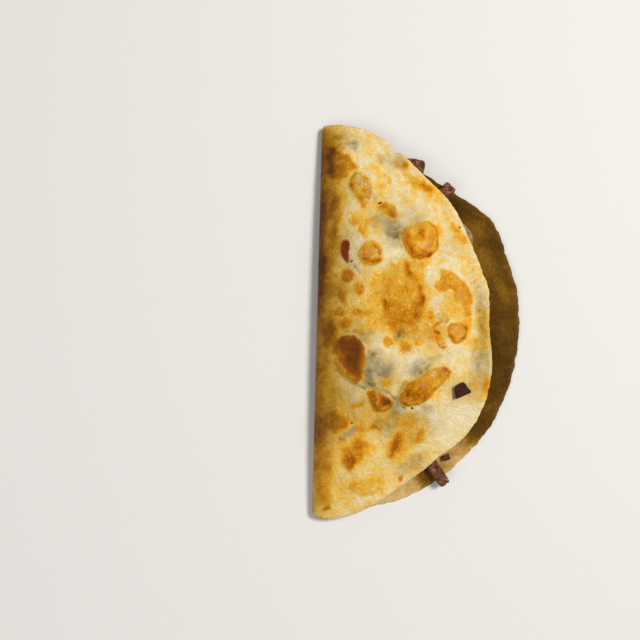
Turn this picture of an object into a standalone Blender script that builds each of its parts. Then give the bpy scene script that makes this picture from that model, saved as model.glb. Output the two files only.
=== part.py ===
"""A folded flour tortilla quesadilla with melted cheese and chopped steak, lying flat.

One wheat tortilla is folded in half over the filling. The fold runs along Y, the open
side looks to +X, and the lower leaf shows beyond the upper one. Lengths below are in
millimetres and angles in degrees, about the fold's middle, from the middle of the open
side. The objects are made in metres.
"""
import math
import random

import bmesh
import bpy

MM = 0.001

# The tortilla, a 190 mm round baked on a griddle.
TORTILLA_RADIUS = 95.0
TORTILLA_THICKNESS = 2.0
LEAF_OFFSET = 0.5
GAP = 0.35

# Where the round's rim falls short of a true circle: depth, angle, spread. The upper
# leaf looks to 0 degrees and the lower one to 180.
RIM_DIPS = (
    (14.4, 7.0, 38.0),
    (5.0, 37.0, 18.0),
    (5.0, 57.0, 11.0),
    (1.2, 63.5, 6.0),
    (2.9, 68.0, 1.7),
    (1.0, 73.0, 3.5),
    (0.6, 50.0, 6.0),
    (0.8, 90.0, 2.5),
    (2.8, -91.0, 3.4),
    (1.2, -1.0, 7.0),
    (-0.9, 13.0, 5.0),
    (9.0, -55.0, 22.0),
    (1.0, -45.0, 4.5),
    (8.8, 117.0, 15.0),
    (2.8, 134.0, 8.0),
    (-1.8, 150.0, 6.0),
    (-1.3, 182.0, 24.0),
    (-0.6, 169.0, 5.0),
    (-0.6, -163.0, 4.0),
    (-0.8, -152.0, 6.0),
    (3.6, -106.0, 8.0),
    (1.1, -122.0, 12.0),
)

# The fold is half an ellipse, tall in its middle and pinched at its two ends.
FOLD_DEPTH_MIDDLE = 9.0
FOLD_DEPTH_END = 2.2
FOLD_RISE_MIDDLE = 9.2
FOLD_RISE_END = 3.4

# Heights of the upper leaf's middle surface above the lower leaf's.
LIP_RISE_MIDDLE = 8.0
LIP_RISE_END = 3.4
FILLING_HUMP = 5.5
HUMP_START = 26.0
LIP_BAND = 5.0
HUMP_SLOPE = 19.0
LIP_RIDGE = 0.7
RUFFLE = 0.7

# The lower leaf lies flat but for its rim.
RIM_CURL = 0.8
CURL_WIDTH = 9.0

# Blisters of the upper leaf: along X, along Y, half length, half width, turn, height.
BLISTERS = (
    (46.0, 40.0, 9.0, 8.5, 0.0, 1.3),
    (23.5, 33.0, 5.8, 5.8, 0.0, 1.0),
    (14.5, -14.0, 7.0, 9.5, 8.0, 1.0),
    (40.0, 12.0, 10.0, 14.0, 0.0, 0.8),
    (66.0, 15.0, 11.0, 6.0, -50.0, 0.9),
    (65.0, -2.5, 5.5, 5.0, 0.0, 1.0),
    (50.0, -27.5, 13.0, 5.0, 28.0, 1.3),
    (29.5, -36.0, 5.0, 4.0, 0.0, 0.8),
    (18.5, 64.0, 5.2, 7.0, 15.0, 1.1),
    (9.5, 76.5, 5.2, 8.0, 0.0, 0.8),
    (31.0, 53.5, 4.5, 3.5, 0.0, 0.7),
    (9.0, -45.0, 4.5, 6.5, 0.0, 0.7),
    (37.0, -58.5, 3.0, 7.0, -20.0, 0.9),
    (47.0, -49.5, 4.0, 5.0, 0.0, 0.6),
    (23.5, -76.0, 6.5, 4.5, 0.0, 0.7),
)

# The filling stops short of the upper leaf's lip, and shows past it at the bulges.
FILLING_RECESS = 5.0
FILLING_BULGES = (
    (8.5, 33.0, 7.5),
    (4.5, -44.0, 3.0),
    (2.5, 4.0, 9.0),
    (-5.8, -51.2, 5.4),
    (-6.5, 60.0, 7.5),
    (-2.5, -12.0, 7.0),
)
FILLING_CROWN_GAP = 0.6
FILLING_EDGE_HEIGHT = 2.6
FILLING_EDGE_BULGE = 1.2

# The steak: length, width and height of each piece, its place, its turn and tilt.
STRIP_SIZE = (17.0, 5.4, 4.2)
STRIP_PLACE = (57.3, -68.3)
STRIP_TURN = -56.0
CORNER_SIZE = (10.0, 9.2, 3.6)
CORNER_PLACE = (43.0, 74.6)
CORNER_TURN = -8.0
EDGE_SIZE = (7.4, 6.0, 4.2)
EDGE_PLACE = (58.8, 64.1)
EDGE_TURN = 47.0
BIT_SIZE = (3.4, 2.8, 2.2)
BIT_PLACE = (62.3, -62.4)
BIT_TURN = 20.0
CRUMB_SIZE = (7.6, 6.4, 3.0)
CRUMB_PLACE = (67.6, -29.9)
CRUMB_TURN = -22.0

# How many faces each sheet gets: across the lower leaf, the fold and the upper leaf.
ROWS_LOWER = 8
ROWS_FOLD = 8
ROWS_UPPER = 24
COLUMNS = 50
FOLD_SHARE = 0.1
FILLING_ROWS = 16
FILLING_COLUMNS = 30
FILLING_START = 0.13


def smooth(value):
    """Rises from 0 to 1 with level ends."""
    value = min(max(value, 0.0), 1.0)
    return value * value * (3.0 - 2.0 * value)


def bell(angle, centre, spread):
    """A soft lobe around an angle, 1 in its middle."""
    turn = (angle - centre + 180.0) % 360.0 - 180.0
    return math.exp(-(turn / spread) ** 2)


def rim_radius(angle):
    """The tortilla's radius once folded, for the whole round."""
    radius = TORTILLA_RADIUS + LEAF_OFFSET * math.cos(math.radians(angle))
    for depth, centre, spread in RIM_DIPS:
        radius -= depth * bell(angle, centre, spread)
    return radius


def along_fold(y, middle, end, power):
    """A value that goes from the fold's middle to its two ends."""
    share = min(abs(y) / TORTILLA_RADIUS, 1.0) ** power
    return middle + (end - middle) * share


def blister_rise(x, y):
    """How far the toasted blisters puff up the upper leaf."""
    rise = 0.0
    for centre_x, centre_y, length, width, turn, height in BLISTERS:
        cosine = math.cos(math.radians(turn))
        sine = math.sin(math.radians(turn))
        along = (x - centre_x) * cosine + (y - centre_y) * sine
        across = (y - centre_y) * cosine - (x - centre_x) * sine
        reach = math.hypot(along / length, across / width)
        rise += height * smooth((1.25 - reach) / 0.6)
    return rise


def upper_leaf_height(x, y, reach, rim):
    """The upper leaf's middle surface above the lower leaf's, without its blisters."""
    fold = along_fold(y, FOLD_RISE_MIDDLE, FOLD_RISE_END, 3.0)
    lip = along_fold(y, LIP_RISE_MIDDLE, LIP_RISE_END, 4.0)
    inset = (1.0 - reach) * rim
    angle = math.degrees(math.atan2(y, x))
    height = fold + (lip - fold) * smooth(reach)
    height += FILLING_HUMP * smooth(x / HUMP_START) * smooth((inset - LIP_BAND) / HUMP_SLOPE)
    height += LIP_RIDGE * bell(angle, -6.0, 20.0) * math.exp(-((inset - 7.5) / 2.2) ** 2)
    height += RUFFLE * math.sin(math.radians(9.0 * angle + 40.0)) * smooth(reach) * smooth(x / 30.0)
    height += 1.0 * bell(angle, -51.0, 9.0) * reach ** 6
    height += 2.3 * bell(angle, 60.0, 11.0) * reach ** 5
    height += 0.5 * math.sin(0.11 * y + 1.0) * math.cos(0.13 * x) * smooth(inset / 20.0) * smooth(x / 20.0)
    return height


def lower_leaf_lift(x, y):
    """The slight curl of the lower leaf's rim, which leaves the fold flat."""
    angle = math.degrees(math.atan2(y, -x))
    inset = rim_radius(angle) - math.hypot(x, y)
    wave = 0.5 + 0.5 * math.sin(math.radians(7.0 * angle))
    return RIM_CURL * wave * smooth((CURL_WIDTH - inset) / CURL_WIDTH) * smooth((x - 20.0) / 20.0)


def sheet_point(u, v):
    """Folds a point of the unit square onto the tortilla's middle surface."""
    across = u * math.sqrt(1.0 - v * v / 2.0)
    along = v * math.sqrt(1.0 - u * u / 2.0)
    reach = math.hypot(across, along)
    angle = math.degrees(math.atan2(along, across))
    rim = rim_radius(angle)
    y = along * rim
    flat_x = abs(across) * rim
    depth = along_fold(y, FOLD_DEPTH_MIDDLE, FOLD_DEPTH_END, 2.5)
    swing = min(flat_x / depth, 1.0) * math.pi / 2.0
    x = depth * (1.0 - math.cos(swing)) if flat_x < depth else flat_x
    side = math.sin(swing) if across > 0.0 else -math.sin(swing)
    height = upper_leaf_height(x, y, reach, rim)
    z = height / 2.0 * (1.0 + side)
    if across > 0.0:
        z += blister_rise(x, y) * smooth(side)
    else:
        z += lower_leaf_lift(x, y)
    return x, y, z + TORTILLA_THICKNESS / 2.0


def fold_spacing(step):
    """Crowds the rows of the sheet into the fold."""
    if step <= ROWS_LOWER:
        return -1.0 + (1.0 - FOLD_SHARE) * step / ROWS_LOWER
    if step <= ROWS_LOWER + ROWS_FOLD:
        return -FOLD_SHARE + 2.0 * FOLD_SHARE * (step - ROWS_LOWER) / ROWS_FOLD
    return FOLD_SHARE + (1.0 - FOLD_SHARE) * (step - ROWS_LOWER - ROWS_FOLD) / ROWS_UPPER


def make_object(name, bm, material, smooth_faces):
    """Turns a bmesh in millimetres into a named object in metres."""
    bmesh.ops.scale(bm, vec=(MM, MM, MM), verts=bm.verts)
    bmesh.ops.recalc_face_normals(bm, faces=bm.faces)
    mesh = bpy.data.meshes.new(name)
    bm.to_mesh(mesh)
    bm.free()
    for face in mesh.polygons:
        face.use_smooth = smooth_faces
    mesh.materials.append(material)
    item = bpy.data.objects.new(name, mesh)
    bpy.context.collection.objects.link(item)
    return item


def make_material(name, colour, roughness):
    """A plain Principled material in the food's own colour."""
    material = bpy.data.materials.new(name)
    material.use_nodes = True
    shader = material.node_tree.nodes["Principled BSDF"]
    shader.inputs["Base Color"].default_value = (*colour, 1.0)
    shader.inputs["Roughness"].default_value = roughness
    shader.inputs["Metallic"].default_value = 0.0
    return material


def make_tortilla(material):
    """The round of baked dough: a grid folded over, then given its thickness."""
    rows = ROWS_LOWER + ROWS_FOLD + ROWS_UPPER
    bm = bmesh.new()
    bmesh.ops.create_grid(bm, x_segments=rows, y_segments=COLUMNS, size=1.0)
    for vert in bm.verts:
        step = round((vert.co.x + 1.0) / 2.0 * rows)
        vert.co = sheet_point(fold_spacing(step), vert.co.y)
    item = make_object("tortilla", bm, material, True)
    dough = item.modifiers.new("dough thickness", "SOLIDIFY")
    dough.thickness = TORTILLA_THICKNESS * MM
    dough.offset = 0.0
    dough.use_even_offset = True
    return item


def filling_radius(angle):
    """How far out the filling reaches between the two leaves."""
    radius = rim_radius(angle) - FILLING_RECESS
    for bulge, centre, spread in FILLING_BULGES:
        radius += bulge * bell(angle, centre, spread)
    return radius


def make_filling(material):
    """Melted cheese with chopped steak: a slab as thick as the room between the leaves."""
    bm = bmesh.new()
    bmesh.ops.create_grid(bm, x_segments=FILLING_ROWS, y_segments=FILLING_COLUMNS, size=1.0)
    floor = TORTILLA_THICKNESS + GAP
    crown = {}
    for vert in bm.verts:
        u = FILLING_START + (1.0 - FILLING_START) * (vert.co.x + 1.0) / 2.0
        v = vert.co.y
        across = u * math.sqrt(1.0 - v * v / 2.0)
        along = v * math.sqrt(1.0 - u * u / 2.0)
        angle = math.degrees(math.atan2(along, across))
        radius = filling_radius(angle)
        x = across * radius
        y = along * radius
        rim = rim_radius(angle)
        reach = min(math.hypot(x, y) / rim, 1.0)
        top = upper_leaf_height(x, y, reach, rim) - FILLING_CROWN_GAP
        overhang = max(math.hypot(x, y) - rim + 3.5, 0.0)
        foot = floor + lower_leaf_lift(x, y)
        vert.co = (x, y, foot)
        crown[vert.index] = max(top - 0.9 * overhang, min(top, foot + FILLING_EDGE_HEIGHT))
    bm.verts.index_update()
    bottom = list(bm.verts)
    heights = [crown[vert.index] for vert in bottom]
    faces = bmesh.ops.extrude_face_region(bm, geom=list(bm.faces), use_keep_orig=True)
    lifted = [item for item in faces["geom"] if isinstance(item, bmesh.types.BMVert)]
    tops = {(round(vert.co.x, 4), round(vert.co.y, 4)): vert for vert in lifted}
    for vert, height in zip(bottom, heights):
        tops[(round(vert.co.x, 4), round(vert.co.y, 4))].co.z = height
    walls = [edge for edge in bm.edges if abs(edge.verts[0].co.z - edge.verts[1].co.z) > 0.5
             and (edge.verts[0].co.xy - edge.verts[1].co.xy).length < 0.001]
    ring = bmesh.ops.subdivide_edges(bm, edges=walls, cuts=2, use_grid_fill=False)
    for vert in [item for item in ring["geom_inner"] if isinstance(item, bmesh.types.BMVert)]:
        outward = math.hypot(vert.co.x, vert.co.y)
        if vert.co.x > 0.3 * outward or outward > 60.0:
            vert.co.x *= 1.0 + FILLING_EDGE_BULGE / outward
            vert.co.y *= 1.0 + FILLING_EDGE_BULGE / outward
    return make_object("filling", bm, material, True)


def make_steak(name, size, place, turn, seed, material, seat):
    """A hand-cut piece of grilled steak: a block with uneven corners on its seat."""
    jitter = random.Random(seed)
    bm = bmesh.new()
    bmesh.ops.create_cube(bm, size=1.0)
    bmesh.ops.subdivide_edges(bm, edges=list(bm.edges), cuts=2, use_grid_fill=True)
    length, width, height = size
    cosine = math.cos(math.radians(turn))
    sine = math.sin(math.radians(turn))
    for vert in bm.verts:
        corner = sum(abs(value) > 0.49 for value in vert.co)
        pull = (1.0, 1.0, 0.96, 0.86)[corner]
        along = vert.co.x * length * pull * (1.0 + 0.07 * jitter.uniform(-1.0, 1.0))
        across = vert.co.y * width * pull * (1.0 + 0.09 * jitter.uniform(-1.0, 1.0))
        x = place[0] + along * cosine - across * sine
        y = place[1] + along * sine + across * cosine
        lift = (vert.co.z + 0.5) * height * (1.0 + 0.06 * jitter.uniform(-1.0, 1.0))
        vert.co = (x, y, seat(x, y) + GAP + lift)
    return make_object(name, bm, material, False)


def on_lower_leaf(x, y):
    """The height of the lower leaf's inner face."""
    return TORTILLA_THICKNESS + lower_leaf_lift(x, y)


def on_upper_leaf(x, y):
    """The height of the upper leaf's outer face."""
    angle = math.degrees(math.atan2(y, x))
    rim = rim_radius(angle)
    height = upper_leaf_height(x, y, math.hypot(x, y) / rim, rim)
    return height + blister_rise(x, y) + TORTILLA_THICKNESS


def centre_on_floor(items):
    """Moves all the meshes so that the part's box stands on the origin."""
    bpy.context.view_layer.update()
    depsgraph = bpy.context.evaluated_depsgraph_get()
    corners = [corner for item in items for corner in item.evaluated_get(depsgraph).bound_box]
    low = [min(corner[axis] for corner in corners) for axis in range(3)]
    high = [max(corner[axis] for corner in corners) for axis in range(3)]
    for item in items:
        for vert in item.data.vertices:
            vert.co.x -= (low[0] + high[0]) / 2.0
            vert.co.y -= (low[1] + high[1]) / 2.0
            vert.co.z -= low[2]


def main():
    for item in list(bpy.data.objects):
        bpy.data.objects.remove(item)
    dough = make_material("baked flour tortilla", (0.79, 0.62, 0.33), 0.55)
    cheese = make_material("melted cheese", (0.85, 0.66, 0.36), 0.38)
    steak = make_material("grilled steak", (0.2, 0.1, 0.06), 0.5)
    seared = make_material("seared steak", (0.05, 0.02, 0.015), 0.55)
    items = [
        make_tortilla(dough),
        make_filling(cheese),
        make_steak("steak_strip", STRIP_SIZE, STRIP_PLACE, STRIP_TURN, 3, steak, on_lower_leaf),
        make_steak("steak_corner", CORNER_SIZE, CORNER_PLACE, CORNER_TURN, 5, steak, on_lower_leaf),
        make_steak("steak_edge", EDGE_SIZE, EDGE_PLACE, EDGE_TURN, 14, steak, on_lower_leaf),
        make_steak("steak_bit", BIT_SIZE, BIT_PLACE, BIT_TURN, 8, steak, on_lower_leaf),
        make_steak("steak_crumb", CRUMB_SIZE, CRUMB_PLACE, CRUMB_TURN, 11, seared, on_upper_leaf),
    ]
    centre_on_floor(items)


main()
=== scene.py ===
"""A folded flour tortilla quesadilla with melted cheese and chopped steak, seen from above.

The tortilla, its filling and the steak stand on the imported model. Sizes are in millimetres
about the middle of the fold, as in the part's source, and places in the scene are in metres.
"""
import math

import bpy
import numpy as np
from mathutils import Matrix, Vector, noise


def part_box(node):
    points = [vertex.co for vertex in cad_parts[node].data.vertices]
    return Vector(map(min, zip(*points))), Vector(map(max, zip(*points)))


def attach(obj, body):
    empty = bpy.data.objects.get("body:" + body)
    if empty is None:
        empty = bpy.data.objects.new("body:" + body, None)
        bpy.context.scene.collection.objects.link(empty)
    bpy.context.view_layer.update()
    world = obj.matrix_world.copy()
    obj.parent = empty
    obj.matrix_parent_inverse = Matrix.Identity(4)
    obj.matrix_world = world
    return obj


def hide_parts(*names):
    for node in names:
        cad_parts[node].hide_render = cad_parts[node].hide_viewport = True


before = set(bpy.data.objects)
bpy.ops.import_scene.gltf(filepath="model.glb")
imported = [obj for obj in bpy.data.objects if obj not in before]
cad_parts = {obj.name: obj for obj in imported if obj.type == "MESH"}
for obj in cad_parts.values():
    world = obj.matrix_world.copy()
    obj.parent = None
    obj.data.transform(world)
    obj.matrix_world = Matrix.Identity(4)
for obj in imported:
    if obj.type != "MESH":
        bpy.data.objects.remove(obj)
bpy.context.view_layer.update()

bpy.ops.object.select_all(action="DESELECT")


# The tortilla: one round of wheat dough, rolled thin, baked on a griddle and folded in half
# over its filling. Its upper leaf is cream, with gold and brown blisters where it puffed up.
MM = 0.001
TORTILLA_RADIUS = 95.0
TORTILLA_THICKNESS = 2.0
LEAF_OFFSET = 0.5

# How the rim strays from a circle: inward step, angle, spread.
RIM_DIPS = (
    (14.4, 7, 38), (5, 37, 18), (5, 57, 11), (1.2, 63.5, 6), (2.9, 68, 1.7), (1, 73, 3.5), (0.6, 50, 6),
    (0.8, 90, 2.5), (2.8, -91, 3.4), (1.2, -1, 7), (-0.9, 13, 5), (9, -55, 22), (1, -45, 4.5),
    (8.8, 117, 15), (2.8, 134, 8), (-1.8, 150, 6), (-1.3, 182, 24), (-0.6, 169, 5), (-0.6, -163, 4),
    (-0.8, -152, 6), (3.6, -106, 8), (1.1, -122, 12),
)

# Values in the fold's middle and at its ends.
FOLD_DEPTH = (9.0, 2.2)
FOLD_RISE = (9.2, 3.4)
LIP_RISE = (8.0, 3.4)
FILLING_HUMP = 5.5
HUMP_START = 26.0
LIP_BAND = 5.0
HUMP_SLOPE = 19.0
LIP_RIDGE = 0.7
LIP_RIDGE_ANGLE = -6.0
LIP_RIDGE_SPREAD = 20.0
LIP_RIDGE_INSET = 7.5
LIP_RIDGE_WIDTH = 2.2
RUFFLE = 0.7
RUFFLE_WAVES = 9.0
RUFFLE_TURN = 40.0
RUFFLE_START = 30.0
SWELL = 0.5
SWELL_START = 20.0
RIM_CURL = 0.8
CURL_WAVES = 7.0
CURL_WIDTH = 9.0
CURL_START = 20.0

# Parts of the lip that the steak pushes up: rise, angle, spread, steepness.
RAISED_LIPS = (
    (1.0, -51.0, 9.0, 6),
    (2.3, 60.0, 11.0, 5),
)

# Blisters: along X, along Y, half length, half width, turn, height.
BLISTERS = (
    (46, 40, 9, 8.5, 0, 1.3), (23.5, 33, 5.8, 5.8, 0, 1), (14.5, -14, 7, 9.5, 8, 1),
    (40, 12, 10, 14, 0, 0.8), (66, 15, 11, 6, -50, 0.9), (65, -2.5, 5.5, 5, 0, 1),
    (50, -27.5, 13, 5, 28, 1.3), (29.5, -36, 5, 4, 0, 0.8), (18.5, 64, 5.2, 7, 15, 1.1),
    (9.5, 76.5, 5.2, 8, 0, 0.8), (31, 53.5, 4.5, 3.5, 0, 0.7), (9, -45, 4.5, 6.5, 0, 0.7),
    (37, -58.5, 3, 7, -20, 0.9), (47, -49.5, 4, 5, 0, 0.6), (23.5, -76, 6.5, 4.5, 0, 0.7),
)
BLISTER_FOOT = 1.25
BLISTER_SLOPE = 0.6

# Soft browning, laid over one another: along X, along Y, half length, half width, turn, tone
# at the edge, tone inside, softness of the edge, wrinkling.
BROWNED = (
    (30, -69, 24, 8, 12, 0.22, 0.22, 0.9, 0.1), (77, 4, 4, 11, 4, 0.24, 0.24, 0.9, 0.1),
    (44, -11, 7, 4, 0, 0.22, 0.24, 0.9, 0.1), (17, -57, 15, 16, 0, 0.16, 0.2, 0.9, 0.1),
    (22, 10, 15, 15, 0, 0.24, 0.26, 0.9, 0.15), (44, -50, 9, 9, 0, 0.24, 0.24, 0.9, 0.1),
    (12, -48, 14, 14, 0, 0.26, 0.28, 0.9, 0.1), (38, 14, 12.5, 16, 4, 0.36, 0.42, 0.7, 0.4),
    (42, 26, 6, 5, 0, 0.34, 0.38, 0.9, 0.3), (52, -1, 7, 9, 30, 0.24, 0.27, 0.8, 0.3),
    (47, -2, 5.5, 5, 0, 0.3, 0.3, 0.8, 0.4), (20, -57, 6.5, 7, 0, 0.3, 0.34, 0.9, 0.2),
    (38.5, -55, 5.5, 8, -15, 0.28, 0.34, 0.9, 0.2), (25, -42.5, 7, 4, -10, 0.28, 0.32, 0.9, 0.2),
    (60.5, 10, 6, 5.5, 0, 0.26, 0.3, 0.9, 0.2), (68.5, 3, 4.5, 5.5, 0, 0.28, 0.32, 0.9, 0.1),
    (70, -27, 8, 9, 0, 0.2, 0.24, 0.9, 0.1), (27, -86, 9, 3.6, 18, 0.22, 0.26, 0.9, 0.1),
    (15.2, 48.6, 2.8, 2, 10, 0.38, 0.4, 0.7, 0.2), (19.6, 44.9, 2.2, 2.6, 0, 0.36, 0.36, 0.7, 0.2),
    (31.2, 67.5, 2, 1.6, 0, 0.34, 0.36, 0.8, 0.2), (28, 69.8, 2.4, 1.4, 20, 0.28, 0.28, 0.8, 0.2),
    (21.2, 80.3, 2.6, 1.8, -20, 0.24, 0.24, 0.9, 0.1), (37.5, 76.4, 4.4, 2.4, -40, 0.3, 0.32, 0.8, 0.2),
    (39.4, 75.4, 1.9, 1.2, -40, 0.5, 0.54, 0.7, 0.2), (44.5, 67.2, 7, 2.6, -32, 0.36, 0.38, 0.8, 0.2),
    (48.2, 65.2, 3.6, 1.7, -42, 0.52, 0.58, 0.8, 0.2), (39.4, 5.6, 8, 8, 0, 0.46, 0.51, 0.7, 0.5),
    (35, 4, 4.4, 5.4, 20, 0.5, 0.56, 0.9, 0.5), (31, 10, 2, 2.2, 0, 0.56, 0.7, 0.9, 0.3),
    (46.5, 8.5, 2.4, 4.6, -10, 0.5, 0.56, 0.8, 0.6), (41, -1.5, 4.6, 2.2, 0, 0.38, 0.42, 0.8, 0.6),
    (46, 28, 3, 1.8, 10, 0.36, 0.38, 0.8, 0.3), (23.4, 33.1, 6, 6, 0, 0.38, 0.3, 0.2, 0.3),
    (23.6, 32.6, 4.8, 4.8, 0, 0.5, 0.42, 0.3, 0.5), (12.9, 22.4, 3.3, 3.2, 0, 0.6, 0.64, 0.5, 0.2),
    (18.2, 15.9, 2.4, 2.8, 25, 0.52, 0.56, 0.6, 0.3), (10.6, 13.2, 2, 4, 18, 0.48, 0.52, 0.6, 0.3),
    (9.6, 5.6, 2.4, 2, 0, 0.5, 0.52, 0.7, 0.3), (17.2, 5.5, 2.1, 2, 0, 0.48, 0.48, 0.7, 0.3),
    (21.8, 5.4, 2.1, 1.7, 0, 0.42, 0.44, 0.8, 0.3), (12, -0.2, 2.9, 2.2, 0, 0.5, 0.55, 0.8, 0.3),
    (5.5, -4, 3.4, 6.4, 0, 0.46, 0.48, 0.9, 0.2), (56, -5.4, 1.7, 2.7, 40, 0.46, 0.5, 0.5, 0.3),
    (57.8, -7.8, 1.6, 2.4, 35, 0.44, 0.26, 0.35, 0.3), (55.2, -0.9, 2.2, 2.7, 10, 0.34, 0.26, 0.4, 0.4),
    (51.2, 5, 2.1, 2, 0, 0.5, 0.54, 0.6, 0.2), (57, 4.2, 3, 2.2, -20, 0.36, 0.33, 0.7, 0.7),
    (47.1, -8, 2.2, 1.7, -10, 0.42, 0.44, 0.7, 0.3), (32, -8, 2.7, 2.2, 0, 0.48, 0.42, 0.5, 0.3),
    (40.8, -10.3, 3.5, 2.5, -25, 0.44, 0.46, 0.7, 0.4), (31.5, -26, 2.8, 3.2, 0, 0.34, 0.36, 0.8, 0.2),
    (45, -24.8, 2, 1.2, 20, 0.2, 0.16, 0.8, 0.2), (19.4, -37.6, 2.8, 1.5, 15, 0.4, 0.42, 0.8, 0.2),
    (23.6, -46, 6, 3.4, 0, 0.32, 0.34, 0.8, 0.3), (20.6, -48.2, 2.6, 1.8, 10, 0.42, 0.46, 0.8, 0.3),
    (27.8, -46.8, 2.2, 1.6, -40, 0.46, 0.52, 0.8, 0.3), (42, -44.2, 9, 3.4, 0, 0.3, 0.34, 0.9, 0.2),
    (47.4, -51.6, 4.6, 3.6, 0, 0.32, 0.34, 0.9, 0.3), (48.4, -50.8, 1.4, 3.2, -20, 0.44, 0.48, 0.8, 0.2),
    (19.8, -75.6, 4.2, 3.4, 0, 0.32, 0.34, 0.6, 0.2), (28.2, -75.2, 4.4, 3.6, 10, 0.32, 0.35, 0.6, 0.2),
    (24.2, -78.6, 5.6, 2.6, 0, 0.32, 0.34, 0.7, 0.2), (2.5, -61, 3.2, 10, 0, 0.48, 0.5, 0.9, 0.2),
    (4, -69, 4, 7, 0, 0.48, 0.5, 0.9, 0.2), (4.2, -78, 4, 9, 0, 0.44, 0.46, 0.9, 0.2),
    (79.9, -27.2, 1.8, 4.2, 6, 0.44, 0.48, 0.9, 0.1), (40.4, -72.1, 1.3, 1.1, 0, 0.62, 0.66, 0.7, 0.1),
    (6, -87.9, 1.4, 1.6, 0, 0.58, 0.62, 0.7, 0.1), (6.8, 55, 2.4, 13, 0, 0.46, 0.48, 0.9, 0.2),
)

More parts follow.
